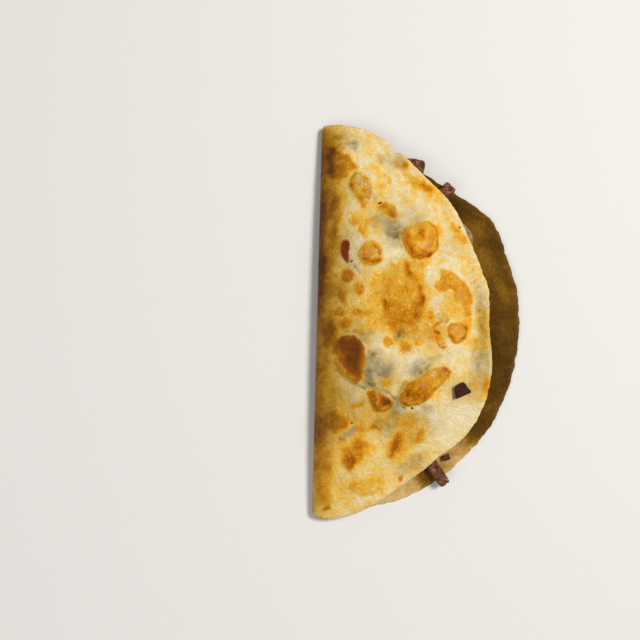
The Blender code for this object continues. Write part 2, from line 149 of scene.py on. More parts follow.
# Blisters and patches with an outline of their own, drawn as corners that are rounded off:
# tone at the edge, tone inside, softness of the edge, wrinkling, corners.
PATCHES = (
    (0.5, 0.54, 2.8, 0.4, (
        (1.5, 79), (3, 84), (7.5, 82.4), (10.1, 80.6), (12.3, 79.9), (14.6, 77), (16.2, 73.6),
        (14.4, 71.8), (11.5, 70.6), (10, 68.4), (6.4, 67.8), (3.8, 69), (2.2, 72.2))),
    (0.58, 0.62, 2.8, 0.3, (
        (6.1, 79.3), (8.7, 80.1), (11.3, 78.7), (12.4, 76.6), (11, 74.7), (7.7, 73.9), (5.5, 74.9),
        (4.7, 77.1))),
    (0.6, 0.64, 2, 0.3, ((3.4, 72.6), (6.4, 72.4), (9.4, 70.4), (7.4, 68.6), (4.4, 69.4))),
    (0.34, 0.25, 1.2, 0.6, (
        (12.2, 67.5), (13.2, 70.2), (16.5, 71.4), (20.5, 70), (23, 66.5), (23.6, 62.5), (22.5, 58.5),
        (20, 54.5), (18.6, 54), (17.2, 57.5), (14.6, 61), (12.4, 64.3))),
    (0.48, 0.48, 1.4, 0.3, (
        (25.6, 55.2), (27.8, 56.8), (31.6, 56.2), (34.8, 54.2), (35.8, 51.7), (34, 49.4), (31.6, 50.1),
        (28.8, 51.5), (26.6, 52.9))),
    (0.44, 0.37, 0.6, 0.3, (
        (37.2, 41), (39.4, 46), (44.5, 47.6), (49.7, 49.2), (53.6, 46.5), (55.3, 40.5), (54.8, 35.6),
        (52, 32.6), (48.5, 31.5), (44, 30.5), (40.4, 32.6), (38, 36.6))),
    (0.3, 0.36, 1.6, 0.2, (
        (58.8, 50.2), (61.5, 49.2), (65.8, 45), (69, 40.8), (69.3, 38.2), (66, 38.5), (63.5, 41.5),
        (61, 45))),
    (0.4, 0.43, 1.1, 0.4, (
        (55.2, 27.2), (59, 26.8), (62.8, 25.2), (67.9, 21.3), (71.3, 15.5), (71.8, 9.5), (70.2, 4),
        (67.4, 6), (67.6, 9.6), (63.4, 11), (62, 14.6), (61.4, 17.6), (57.2, 15.8), (53.4, 17.2),
        (53, 19.8), (57, 21.4))),
    (0.42, 0.46, 0.9, 0.4, ((62.6, 17.6), (66.4, 18.6), (69, 15), (68.2, 10.8), (64, 11.2))),
    (0.5, 0.41, 0.7, 0.4, (
        (60, -0.3), (61.6, 2.4), (65, 1.8), (69.4, -0.3), (70.2, -3), (68.4, -6), (64.8, -8.3),
        (61.8, -6.8), (60, -3.6))),
    (0.6, 0.7, 0.8, 0.2, (
        (6.3, -10.1), (7.7, -7.7), (9.9, -6), (13.2, -5.1), (16, -5.1), (18.3, -6.2), (20.2, -8.1),
        (21.5, -10.6), (22.2, -13.4), (21.9, -16.2), (21.6, -21.3), (20.9, -24.4), (19.2, -27.4),
        (17, -26.5), (13.9, -25.1), (11.3, -23), (8.9, -20.2), (7.1, -16.6), (6, -13.3))),
    (0.8, 0.86, 2.8, 0.1, (
        (10.4, -7.6), (13.7, -6), (16.5, -6.2), (19.2, -8), (20.6, -10.6), (21.2, -13.4), (20.2, -16.6),
        (18.6, -19.5), (17, -22.6), (14.8, -21.8), (13.2, -18.5), (11.7, -15.7), (9.7, -13.4),
        (9, -10.2))),
    (0.44, 0.44, 0.8, 0.6, (
        (38.6, -33.5), (40.2, -28.8), (45, -25), (50, -22), (56, -19.4), (60.2, -18.8), (62.4, -21.4),
        (61.4, -24), (56.9, -28), (51.5, -34.4), (47.5, -37), (44, -38), (40, -37.2))),
    (0.56, 0.62, 3, 0.5, (
        (40.6, -30.5), (44.6, -26.8), (50.5, -26), (54, -27.2), (49.8, -32), (45.5, -35), (41.6, -35.4))),
    (0.62, 0.7, 2, 0.4, ((42.6, -29.8), (46.4, -27.4), (50, -28.6), (47.6, -31.8), (44.2, -32.4))),
    (0.52, 0.54, 0.9, 0.5, (
        (22.6, -31.6), (25.5, -30.8), (28.3, -30.7), (31.1, -31.8), (34, -33.6), (35.6, -35.4),
        (36.8, -37.2), (35, -38.9), (32.7, -39.8), (30.4, -40.9), (28.3, -40.7), (26.2, -39.1),
        (24.5, -36.6), (23.3, -34.3))),
    (0.74, 0.82, 1.6, 0.2, (
        (29.8, -32.8), (31.8, -32.9), (34.4, -35), (35.8, -37.2), (34, -38.8), (31.6, -38.2), (30, -36))),
    (0.52, 0.6, 2.4, 0.2, (
        (6.3, -42.5), (8.2, -40.7), (10.3, -41), (12.8, -42.9), (14.2, -45.7), (13.5, -48.5),
        (11.8, -50.8), (9.5, -52.2), (7.5, -51.4), (6.1, -48.5))),
    (0.66, 0.7, 2.6, 0.2, (
        (6.3, -45.1), (8, -43.1), (10.1, -43.8), (11.2, -46.8), (10.5, -49.5), (8.5, -50.6),
        (6.6, -48.9))),
    (0.48, 0.62, 1.4, 0.3, (
        (17, -53.4), (19.2, -52.1), (21.8, -52.9), (23.8, -55), (23.6, -57.3), (21.7, -59.3),
        (19.3, -59.7), (17.3, -58.3), (16.5, -56))),
    (0.48, 0.56, 1.4, 0.3, (
        (13, -58.2), (15.7, -57.1), (18.3, -58.1), (21.1, -60.3), (21.4, -62.6), (19.8, -65.4),
        (17.7, -67.9), (16, -69.4), (14.4, -67.6), (12.9, -64.4), (12.2, -61.3))),
    (0.62, 0.66, 1.4, 0.3, (
        (14.8, -60), (16.7, -59.2), (17.9, -61.6), (17.7, -64.4), (16.8, -67.1), (15.2, -66.4),
        (14.3, -63.8))),
    (0.48, 0.56, 1.4, 0.3, (
        (37.8, -49), (39.7, -49.7), (40.8, -52.8), (40.5, -55.9), (39.3, -59.2), (38.3, -62.4),
        (36, -63.4), (34.2, -61.7), (34.3, -59.1), (35.6, -56.5), (36.2, -54.4), (37, -51.8))),
    (0.66, 0.7, 1.4, 0.3, (
        (37.6, -52.4), (39.1, -52.9), (39, -56.4), (37.8, -59.3), (36.7, -62.1), (34.9, -61.4),
        (34.9, -59.2), (36.4, -56.3))),
)

# Lines where a blister's skin meets the sheet, is folded or catches the light: browned edges, painted shade
# in the creases and painted highlights on the lit edges; tone, greyness and whiteness added, half width,
# points.
STROKES = (
    (0.3, 0.9, 0, 0.8, ((8.6, -21.6), (11.4, -24.4), (14.4, -26.2), (18, -27.6))),
    (0, 0.7, 0, 0.8, ((7, -18.8), (9.1, -22.4), (13, -25.6), (17.7, -27.8), (22.1, -30))),
    (0, 0.6, 0, 1, ((18.6, -4.4), (22, -4.6), (25, -4.2))),
    (0, 0.6, 0, 0.9, ((8, -6.2), (12, -4), (17, -3.4), (21.4, -4.2), (24.5, -3.6))),
    (-0.3, 0, 0.9, 0.5, ((9, -6), (13, -4.6), (17, -5), (20.4, -7.6), (22.2, -11), (22.8, -15))),
    (-0.22, 0, 0, 0.9, (
        (7.4, -16), (10, -20.4), (13.4, -23.4), (17.4, -25.6), (20.2, -25.4), (21.2, -21))),
    (-0.16, 0, 0.3, 0.5, ((7.2, -14.4), (9.4, -18.6), (12.6, -21.8))),
    (-0.08, 0, 0, 0.6, ((12.6, -9.8), (15.8, -10), (17.6, -12.4))),
    (-0.06, 0, 0, 0.5, ((11.4, -12.6), (14.6, -13), (16.4, -15.6))),
    (0.18, 0, 0, 0.8, (
        (50.6, 48.6), (53.4, 45.6), (54.6, 40.4), (54.2, 36), (51.4, 33.2), (46.4, 31.8), (42.4, 31.8))),
    (0.3, 0, 0, 1.7, ((46.8, 45), (45.4, 42.4), (47, 40.8))),
    (0.3, 0, 0, 1.6, ((39.6, 42.4), (40, 39), (41.4, 35.4), (43.6, 33.2), (47.4, 33.8), (50.4, 33.6))),
    (0.16, 0, 0, 0.8, (
        (48.6, 46.2), (51.6, 43.6), (52, 39.4), (50.4, 36.2), (46.8, 35.2), (43.8, 36.6), (43.6, 40))),
    (-0.16, 0, 0, 0.8, ((43.2, 38.6), (46.2, 36.6), (49, 38), (49.2, 41.6))),
    (0, 0, 0.35, 0.6, ((36.2, 43), (36.4, 38), (38.6, 33.4))),
    (0.3, 0, 0, 0.9, ((24.6, 37.4), (26.2, 35.8), (27.6, 33))),
    (0.26, 0, 0, 1.1, ((20.2, 30.2), (23.4, 29.4), (26.6, 30))),
    (-0.26, 0, 0, 0.6, ((23.6, 30.8), (26.2, 31.4), (29, 31.6))),
    (0.3, 0, 0, 1.4, ((39.8, 28.8), (40.6, 26.2), (42.6, 22.7), (46.2, 20.5), (47.1, 15.9), (48.3, 12))),
    (0.2, 0, 0, 1.4, ((62.4, 48.2), (65.6, 44.2), (68.4, 40.6))),
    (0.4, 0, 0, 0.5, ((65, 46.9), (65.5, 46.4))),
    (0.12, 0, 0, 0.7, ((70.6, 26.6), (72.2, 27.2))),
    (-0.15, 0, 0.3, 0.6, ((56, 28.2), (63.2, 26.4), (68.9, 22), (72.4, 15.6), (73, 9), (72, 2))),
    (0.1, 0, 0, 0.9, ((54.4, 17.8), (57.2, 16.6), (60.6, 18.2))),
    (0.2, 0, 0, 1.1, ((68.4, 0), (69, -3.4), (66.8, -6.6), (63.8, -7.2), (61.4, -4.8))),
    (0.4, 0, 0, 0.7, ((56.2, 1.6), (54.2, 0.8), (53.8, -1.2), (54.8, -3), (56.2, -3.2))),
    (0.34, 0, 0, 0.6, ((56.4, -8.8), (58.2, -10.2), (59.6, -9.2))),
    (0.12, 0, 0, 1.5, ((62, -24), (56.8, -28), (51, -34), (46.6, -36.6))),
    (0.2, 0, 0, 0.7, ((57.6, -21.6), (59.6, -20), (61.2, -21.2), (60.4, -22.8))),
    (-0.1, 0, 0.6, 0.7, ((47.6, -27.2), (50.6, -28))),
    (-0.16, 0, 0, 1, ((45.4, -26.4), (50, -23.8), (55.4, -21.4))),
    (-0.12, 0, 0, 0.8, ((41.4, -34.6), (44.4, -36.2), (48.4, -35))),
    (0.2, 0, 0, 0.8, ((39.2, -31.6), (39.6, -35.4), (42.4, -37.4), (45.4, -36.6))),
    (0.2, 0, 0, 0.7, ((41.6, -31.4), (41.4, -34), (43.2, -35.4), (45.4, -34.6))),
    (0, 0.8, 0, 0.9, ((37.6, -38.2), (38, -34), (38.4, -30), (41, -26.6))),
    (-0.3, 0, 0.9, 0.5, ((27.5, -31), (32.4, -32.6), (37, -36.4), (39.6, -40))),
    (0.1, 0.9, 0, 0.7, ((26.4, -29.4), (31.6, -30.9), (37.6, -34.9), (40.6, -38.6))),
    (-0.24, 0, 0.3, 0.5, ((27.6, -32), (28.4, -34.4), (28.4, -37))),
    (-0.16, 0, 0.2, 0.5, ((29.6, -39.2), (31.8, -39), (33.4, -38.2))),
    (0.24, 0, 0, 1.5, ((13.4, 67), (13.6, 64.6), (15.4, 61.6), (17.8, 58.2), (18.9, 54.8))),
    (0.2, 0, 0, 1.3, ((14, 68.6), (16.4, 69.8), (20.4, 67.9), (22.4, 64.6))),
    (0.2, 0, 0, 0.8, ((15.9, 66), (16.6, 63.4), (18.4, 62.6), (20.8, 64.4))),
    (0.3, 0, 0, 0.6, ((19.2, 62), (21.6, 62.6), (23, 60.6), (21.4, 58.6), (19.4, 59.2))),
    (-0.12, 0, 0.5, 0.8, ((16.6, 65.4), (18.4, 64.4))),
    (-0.1, 0, 0.5, 0.7, ((22, 65.4), (23.2, 64.6))),
    (-0.14, 0, 0.2, 0.7, ((6.4, 75.8), (9.4, 77.2))),
    (-0.1, 0, 0.5, 1, ((11.6, 82.2), (13.8, 81.2))),
    (0.14, 0, 0, 1.1, ((28.2, 54.8), (29.8, 54.2))),
    (0.15, 0, 0, 1.4, ((32.4, 52.6), (33.8, 51.2))),
    (-0.16, 0, 0.1, 0.6, ((22.6, -54), (22.4, -57.6))),
    (0.16, 0, 0, 0.9, ((16.6, -60.4), (18.2, -64), (17, -67))),
    (0, 0.6, 0, 0.6, ((5, 28), (9, 26.6))),
    (0, 0.75, 0, 0.7, ((15.2, 28), (18.6, 24.2))),
    (0.1, 0.2, 0, 0.6, ((75.4, 8), (75.4, -3.6), (73.6, -9), (71.9, -13))),
    (0, 0.5, 0, 1, ((76.8, -13), (75.6, -18), (75.2, -23))),
)

# Paler or whiter places where dry flour stayed on, some of them painted glints of light: along X, along Y,
# half length, half width, turn, strength.
CHALK_AND_GLINTS = (
    (43.5, -16.5, 8.5, 5.5, 10, 0.6), (53.6, 11.8, 3.8, 2.4, 25, 1), (17, 26, 4.5, 2.6, -38, 0.6),
    (31, 35, 4, 8, 8, 0.45), (12, 34, 5.5, 8, 0, 0.5), (41, 51.5, 7, 5, 0, 0.6), (26, -8, 3, 4, 0, 0.5),
    (13.5, -30, 6, 3, -32, 0.5), (28, -20, 6.5, 6, 0, 0.5), (60, -41, 14, 9, 20, 0.35),
    (33, 76, 6, 3, -30, 0.4), (62, -14, 9, 6, 0, 0.35), (29, 45, 6, 5, 0, 0.4),
    (24.4, 59, 2.6, 4, 20, 0.5), (7.2, -55.4, 3, 4, 0, 0.4), (15.5, -51, 4.5, 1.8, 40, 0.5),
    (40, -70, 8, 4, 20, 0.25), (22, -88, 10, 4, 15, 0.3),
)

# Greyish places: see-through dough where the filling darkens it, and painted shade in the dips of the lip
# near the rim: as above.
MURK_AND_SHADE = (
    (33.7, 43.2, 4.4, 5.2, 0, 1), (26.4, 48.2, 4.6, 2.8, -20, 0.6), (25.8, -16.2, 3.6, 4.4, 0, 1),
    (25, -22, 3.2, 4.4, 0, 1), (30.8, -20.9, 3.8, 3, 0, 1), (24.6, -28.2, 3, 2, -30, 0.7),
    (26, -27.6, 4.4, 2.2, -30, 0.6), (46.8, -19.6, 6.2, 2.8, 22, 1.1), (54.6, -15.6, 3.6, 1.4, 15, 0.4),
    (37.4, -5, 2.2, 2.4, 0, 0.75), (42, -6.2, 3, 1.2, -10, 0.35), (15.2, -51, 4.4, 1.3, 37, 1),
    (11.6, -54.6, 1.6, 1.4, 0, 0.7), (9.8, 86, 2.8, 2.2, 0, 0.6), (14, 84.9, 2, 2.6, 0, 0.5),
    (28.6, 77.5, 3.2, 2.6, 0, 0.45), (75.5, -18, 1.4, 7, -6, 0.45), (76.5, 3, 2.2, 9, 4, 0.5),
    (74.6, 15, 1.8, 7, 14, 0.45), (30.8, -46.6, 4.6, 3.4, 0, 0.5), (37, -41.5, 4, 2, 0, 0.4),
    (37.6, -36.4, 2.2, 3.2, 0, 0.6), (51.5, -38, 3, 2.5, 0, 0.4), (8, 33, 1.8, 6, 0, 0.5),
    (44, 51, 4, 3, 0, 0.45), (45.6, -65.6, 6, 3.4, 28, 0.4), (20, -6.5, 6, 1.6, 10, 0.3),
    (62.5, -12, 5, 2, 0, 0.2), (60, 37, 5, 5, 0, 0.25), (23.8, 60.6, 1.2, 3, 10, 0.4),
)

# Wide places where the dough is painted darker, as painted shade: as above.
PAINTED_SHADE_SPOTS = (
    (3, 26, 15, 34, 0, 0.95), (11, -28, 18, 22, 0, 0.95), (12, -4, 14, 12, 0, 0.6),
    (29, -25, 11, 12, 0, 0.6), (40, -45, 18, 11, 0, 0.55), (77, -18, 6, 18, -4, 0.95),
    (77.5, 6, 4, 12, 4, 0.6), (4, 62, 8, 14, 0, 0.5), (34, 50, 12, 12, 0, 0.35), (36, 77, 6, 4, -40, 0.6),
    (37, -37, 5, 5, 0, 0.8), (12, 86, 7, 5, 0, 0.35), (68, -30, 9, 9, 0, 0.3), (45, -66, 10, 5, 28, 0.4),
)

# A long spot of red sauce: its corners.
RED_BLOT = (
    (10.5, 39.2), (12.3, 39.6), (13.4, 38.4), (13.5, 35.8), (13, 33.6), (13.2, 31), (13.2, 28.8),
    (12.2, 28.4), (10.7, 30.2), (9.3, 32.7), (8.9, 35.7), (9.6, 37.9),
)

# Reddish gold places on the blisters, partly peach-tinted painted highlights: along X, along Y, half length,
# half width, turn.
BLUSH_AND_HIGHLIGHT = (
    (64.6, -1.9, 3, 3.2, 0), (21.4, 32.9, 2.2, 2.4, 0), (71.5, 26.8, 1.3, 1, 0), (17.4, 65, 1.6, 1.8, 10),
    (58, -7.8, 1.3, 2, 20), (55.4, -1, 1.2, 1.6, 10), (49.9, 38, 2, 4.5, 0), (57.5, -21.6, 2, 1.6, 20),
    (65.8, 14.6, 2.4, 2.8, 0), (21.4, 60.6, 1.3, 1.3, 0), (8, 76.4, 1.6, 1.2, 0),
)

# Rows of the sheet's grid: at the lower leaf's rim, to the fold, round it and over the upper leaf.
ROWS_RIM = 5
ROWS_LOWER = 26
ROWS_FOLD = 26
ROWS_UPPER = 132
COLUMNS = 268
RIM_SHARE = 0.965
FOLD_SHARE = 0.1


def smooth(value):
    """Rises from 0 to 1 with level ends."""
    value = np.clip(value, 0.0, 1.0)
    return value * value * (3.0 - 2.0 * value)


def hump(value, centre, spread):
    """A soft lobe along a line, 1 in its middle."""
    return np.exp(-((value - centre) / spread) ** 2)


def bell(angle, centre, spread):
    """A soft lobe around an angle, 1 in its middle."""
    return hump((angle - centre + 180.0) % 360.0 - 180.0, 0.0, spread)


def rim_radius(angle):
    """The tortilla's radius once folded, for the whole round."""
    radius = TORTILLA_RADIUS + LEAF_OFFSET * np.cos(np.radians(angle))
    for depth, centre, spread in RIM_DIPS:
        radius = radius - depth * bell(angle, centre, spread)
    return radius


def ragged(angle, width):
    """Small dents and tongues of a hand-rolled rim, in millimetres."""
    turns = np.radians(angle)
    spots = [Vector((math.cos(turn), math.sin(turn), 0.0)) * TORTILLA_RADIUS for turn in turns]
    return width * np.array([noise.noise(spot / 4.5) + 0.6 * noise.noise(spot / 1.9) for spot in spots])


def along_fold(y, ends, power):
    """A value that goes from the fold's middle to its two ends."""
    share = np.minimum(np.abs(y) / TORTILLA_RADIUS, 1.0) ** power
    return ends[0] + (ends[1] - ends[0]) * share


def turned(x, y, degrees):
    """Turns places about the origin, anticlockwise."""
    cosine = math.cos(math.radians(degrees))
    sine = math.sin(math.radians(degrees))
    return x * cosine - y * sine, x * sine + y * cosine


def reach_in(x, y, spot):
    """How far a point lies from a spot's centre, 1 on the spot's edge."""
    along, across = turned(x - spot[0], y - spot[1], -spot[4])
    return np.hypot(along / spot[2], across / spot[3])


def spot_cover(x, y, spot, outer, slope):
    """How fully a spot covers a point: 0 from the outer reach on, rising over the slope."""
    return smooth((outer - reach_in(x, y, spot)) / slope)


def off_line(x, y, points):
    """The distance from a line through the given points."""
    gap = np.full(len(x), 1000.0)
    for (ax, ay), (bx, by) in zip(points, points[1:]):
        share = ((x - ax) * (bx - ax) + (y - ay) * (by - ay)) / ((bx - ax) ** 2 + (by - ay) ** 2)
        share = np.clip(share, 0.0, 1.0)
        gap = np.minimum(gap, np.hypot(x - ax - share * (bx - ax), y - ay - share * (by - ay)))
    return gap


def depth_inside(x, y, corners):
    """How far inside a rounded outline a point lies, below 0 when it is outside."""
    outline = np.array(corners)
    for _ in range(2):
        following = np.roll(outline, -1, axis=0)
        cuts = (0.75 * outline + 0.25 * following, 0.25 * outline + 0.75 * following)
        outline = np.stack(cuts, axis=1).reshape(-1, 2)
    inside = np.zeros(len(x), dtype=bool)
    closed = np.vstack((outline, outline[:1]))
    for (ax, ay), (bx, by) in zip(closed, closed[1:]):
        if ay != by:
            inside ^= ((ay > y) != (by > y)) & (x < ax + (bx - ax) * (y - ay) / (by - ay))
    gap = off_line(x, y, closed)
    return np.where(inside, gap, -gap)


def blister_rise(x, y):
    """How far the toasted blisters puff up the upper leaf."""
    rise = 0.0 * x
    for spot in BLISTERS:
        rise = rise + spot[5] * spot_cover(x, y, spot, BLISTER_FOOT, BLISTER_SLOPE)
    return rise


def upper_leaf_height(x, y, reach, rim):
    """The upper leaf's middle surface above the lower leaf's, without its blisters."""
    fold = along_fold(y, FOLD_RISE, 3.0)
    lip = along_fold(y, LIP_RISE, 4.0)
    inset = (1.0 - reach) * rim
    angle = np.degrees(np.arctan2(y, x))
    height = fold + (lip - fold) * smooth(reach)
    height = height + FILLING_HUMP * smooth(x / HUMP_START) * smooth((inset - LIP_BAND) / HUMP_SLOPE)
    ridge = bell(angle, LIP_RIDGE_ANGLE, LIP_RIDGE_SPREAD) * hump(inset, LIP_RIDGE_INSET, LIP_RIDGE_WIDTH)
    height = height + LIP_RIDGE * ridge
    ruffle = np.sin(np.radians(RUFFLE_WAVES * angle + RUFFLE_TURN))
    height = height + RUFFLE * ruffle * smooth(reach) * smooth(x / RUFFLE_START)
    for rise, centre_angle, spread, steepness in RAISED_LIPS:
        height = height + rise * bell(angle, centre_angle, spread) * reach ** steepness
    swell = np.sin(0.11 * y + 1.0) * np.cos(0.13 * x)
    return height + SWELL * swell * smooth(inset / SWELL_START) * smooth(x / SWELL_START)


def lower_leaf_lift(x, y):
    """The slight curl of the lower leaf's rim, which leaves the fold flat."""
    angle = np.degrees(np.arctan2(y, -x))
    inset = rim_radius(angle) - np.hypot(x, y)
    wave = 0.5 + 0.5 * np.sin(np.radians(CURL_WAVES * angle))
    return RIM_CURL * wave * smooth((CURL_WIDTH - inset) / CURL_WIDTH) * smooth((x - CURL_START) / CURL_START)


def cloudy(points, size, seed):
    """Smooth noise of about the given size in millimetres, between -1 and 1."""
    shift = Vector((seed * 17.3, seed * 5.1, seed * 29.7))
    return np.array([noise.noise(Vector(point) / size + shift) for point in points])


def clouded(points, *layers):
    """Noise of several sizes laid over one another: strength, size and seed of each."""
    return sum(strength * cloudy(points, size, seed) for strength, size, seed in layers)


def on_disc(u, v):
    """Moves a square grid's places onto a round of radius 1."""
    return u * np.sqrt(1.0 - v * v / 2.0), v * np.sqrt(1.0 - u * u / 2.0)


def thicken(piece, name, thickness):
    """Gives a sheet its thickness, half to each side, and closes its rim."""
    wall = piece.modifiers.new(name, "SOLIDIFY")
    wall.thickness = thickness
    wall.offset = 0.0
    bpy.ops.object.modifier_apply(modifier=wall.name)


def read_points(piece):
    """The places of a mesh's vertices, one row each."""
    points = np.empty(len(piece.data.vertices) * 3)
    piece.data.vertices.foreach_get("co", points)
    return points.reshape(-1, 3)


def write_points(piece, points):
    """Puts a mesh's vertices where the rows say."""
    piece.data.vertices.foreach_set("co", np.ascontiguousarray(points, dtype=np.float64).ravel())
    piece.data.update()


def paint(piece, name, values):
    """Keeps one value for each vertex, for the material to read."""
    layer = piece.data.attributes.new(name, "FLOAT", "POINT")
    layer.data.foreach_set("value", np.ascontiguousarray(values, dtype=np.float32))


rows = ROWS_LOWER + ROWS_FOLD + ROWS_UPPER
bpy.ops.mesh.primitive_grid_add(x_subdivisions=rows, y_subdivisions=COLUMNS, size=2.0)
tortilla = bpy.context.object
tortilla.name = "tortilla_baked"
square = read_points(tortilla)
steps = np.rint((square[:, 0] + 1.0) / 2.0 * rows)
row_marks = (0, ROWS_RIM, ROWS_LOWER, ROWS_LOWER + ROWS_FOLD, rows)
across, along = on_disc(
    np.interp(steps, row_marks, (-1.0, -RIM_SHARE, -FOLD_SHARE, FOLD_SHARE, 1.0)), square[:, 1])
sheet_reach = np.hypot(across, along)
sheet_angle = np.degrees(np.arctan2(along, across))
sheet_rim = rim_radius(sheet_angle)
sheet_rim = sheet_rim + ragged(sheet_angle, np.where(across > 0.0, 0.35, 0.6)) * sheet_reach ** 9
sheet_y = along * sheet_rim
flat_x = np.abs(across) * sheet_rim
depth = along_fold(sheet_y, FOLD_DEPTH, 2.5)
swing = np.minimum(flat_x / depth, 1.0) * math.pi / 2.0
sheet_x = np.where(flat_x < depth, depth * (1.0 - np.cos(swing)), flat_x)
upper = across > 0.0
side = np.where(upper, 1.0, -1.0) * np.sin(swing)
sheet_z = upper_leaf_height(sheet_x, sheet_y, sheet_reach, sheet_rim) / 2.0 * (1.0 + side)
sheet_z = sheet_z + np.where(upper, blister_rise(sheet_x, sheet_y) * smooth(side), 0.0)
sheet_z = sheet_z + np.where(upper, 0.0, lower_leaf_lift(sheet_x, sheet_y))
middle = np.stack((sheet_x, sheet_y, sheet_z + TORTILLA_THICKNESS / 2.0), axis=1)
write_points(tortilla, middle)

thicken(tortilla, "dough thickness", TORTILLA_THICKNESS)
skin = read_points(tortilla)
sheet_count = len(middle)
centre = np.tile(middle, (2, 1))
reach = np.tile(sheet_reach, 2)
is_upper = np.tile(side, 2) > -0.2
face_of = np.repeat((0, 1), sheet_count)
top_face = 0 if skin[:sheet_count][sheet_x > 30.0][-1, 2] > middle[sheet_x > 30.0][-1, 2] else 1
outside = face_of == top_face

# The rim is rolled thin and its corners are round.
ROUNDING_SHARE = 0.72
ROUNDING_WIDTH = 0.75
inset = (1.0 - reach) * np.tile(sheet_rim, 2)
rounding = ROUNDING_SHARE * hump(inset, 0.0, ROUNDING_WIDTH)
skin = centre + (skin - centre) * (1.0 - rounding)[:, None]

# Edges of patches wander, so every place is read a little off its own spot.
stray_x = clouded(skin, (1.5, 6.0, 1), (0.9, 2.4, 2))
stray_y = clouded(skin, (1.5, 6.0, 3), (0.9, 2.4, 4))


def strayed(share):
    """Where the skin reads its colours: its own places, moved by a share of the wandering."""
    return skin[:, 0] + share * stray_x, skin[:, 1] + share * stray_y


# How deeply the skin is toasted, from 0 for raw dough to 1 for char, and how wrinkled it is.
DOUGH_TONE = 0.12
LEAST_TONE = 0.02
HALO_TONE = 0.05
PAINTED_LIGHT_PLACE = (62.0, -44.0, 16.0, 14.0, 0.0)
SMOOTH_SKIN = 0.1
x, y = strayed(0.6)
shown = outside & is_upper
tone = DOUGH_TONE + clouded(skin, (0.15, 13.0, 5), (0.14, 5.0, 8), (0.11, 2.6, 9))
# The smooth dome at the lower right is painted paler: painted light.
tone = tone - 0.1 * spot_cover(x, y, PAINTED_LIGHT_PLACE, 1.4, 1.0)
tone = np.maximum(tone, LEAST_TONE)
wrinkling = np.full(len(skin), SMOOTH_SKIN)
for spot in BROWNED:
    edge_tone, inner_tone, softness, wrinkles = spot[5:]
    near = reach_in(*strayed(min(0.3 + softness, 1.0)), spot)
    if edge_tone > 0.4:
        tone = tone + HALO_TONE * smooth((1.9 - near) / 0.9)
    cover = smooth((1.0 + softness / 2.0 - near) / softness)
    # Each browned spot is painted a little darker on its lower side and lighter on its upper side: painted
    # shade and light.
    shaded_downward = np.clip((spot[1] - y) / spot[3], -1.0, 1.0)
    fresh = inner_tone + (edge_tone - inner_tone) * hump(near, 0.86, 0.17) + 0.05 * shaded_downward
    tone = tone + (fresh - tone) * cover
    wrinkling = wrinkling + (wrinkles - wrinkling) * cover
puffed = np.zeros(len(skin))
for edge_tone, inner_tone, softness, wrinkles, corners in PATCHES:
    deep = depth_inside(*strayed(min(0.2 + 0.35 * softness, 1.0)), corners)
    if edge_tone > 0.35:
        tone = tone + HALO_TONE * smooth((deep + 4.0) / 4.0)
    cover = smooth(0.5 + deep / softness)
    fresh = inner_tone + (edge_tone - inner_tone) * hump(deep, 0.0, 1.6)
    tone = tone + (fresh - tone) * cover
    wrinkling = wrinkling + (wrinkles - wrinkling) * cover
    if softness < 1.0:
        puffed = np.maximum(puffed, smooth((deep + 0.3) / 1.5))
tone = tone + 0.3 * wrinkling * cloudy(skin, 3.6, 24)

# Dry flour and grey places, some of the grey painted shade, stay off the puffed blisters; wide painted shade
# lies over all.
ring_halo = hump(reach_in(x, y, BLISTERS[1]), 1.22, 0.11)
chalk_and_highlight = 0.7 * ring_halo
for spot in CHALK_AND_GLINTS:
    chalk_and_highlight = np.maximum(chalk_and_highlight, spot[5] * spot_cover(x, y, spot, 1.3, 0.7))
murk_and_shade = np.zeros(len(skin))
for spot in MURK_AND_SHADE:
    murk_and_shade = murk_and_shade + (1.0 - murk_and_shade) * 0.95 * spot[5] * spot_cover(*strayed(1.0), spot, 1.75, 1.5)
murk_and_shade = murk_and_shade * (0.9 + 0.5 * cloudy(skin, 4.0, 20))
painted_shade = np.zeros(len(skin))
for spot in PAINTED_SHADE_SPOTS:
    painted_shade = painted_shade + (1.0 - painted_shade) * spot[5] * spot_cover(x, y, spot, 1.4, 1.1)
painted_shade = painted_shade * (0.85 + clouded(skin, (0.5, 8.0, 21), (0.3, 3.0, 22)))
chalk_and_highlight = chalk_and_highlight * (1.0 - puffed)
murk_and_shade = murk_and_shade * (1.0 - puffed)
fold_line = np.zeros(len(skin))
for tone_added, grey_and_shade_added, white_and_highlight_added, width, points in STROKES:
    on_line = hump(off_line(*strayed(0.35), points), 0.0, width) * (0.75 + 0.5 * cloudy(skin, 3.0, 19))
    tone = tone + tone_added * on_line
    murk_and_shade = np.maximum(murk_and_shade, grey_and_shade_added * on_line)
    chalk_and_highlight = np.maximum(chalk_and_highlight, white_and_highlight_added * on_line)
    fold_line = fold_line + (0.5 * white_and_highlight_added - np.abs(tone_added) - 0.5 * grey_and_shade_added) * on_line
red = smooth(0.5 + depth_inside(*strayed(0.25), RED_BLOT) / 0.8)
blush_and_highlight = np.zeros(len(skin))
for spot in BLUSH_AND_HIGHLIGHT:
    blush_and_highlight = np.maximum(blush_and_highlight, spot_cover(x, y, spot, 1.3, 0.8))

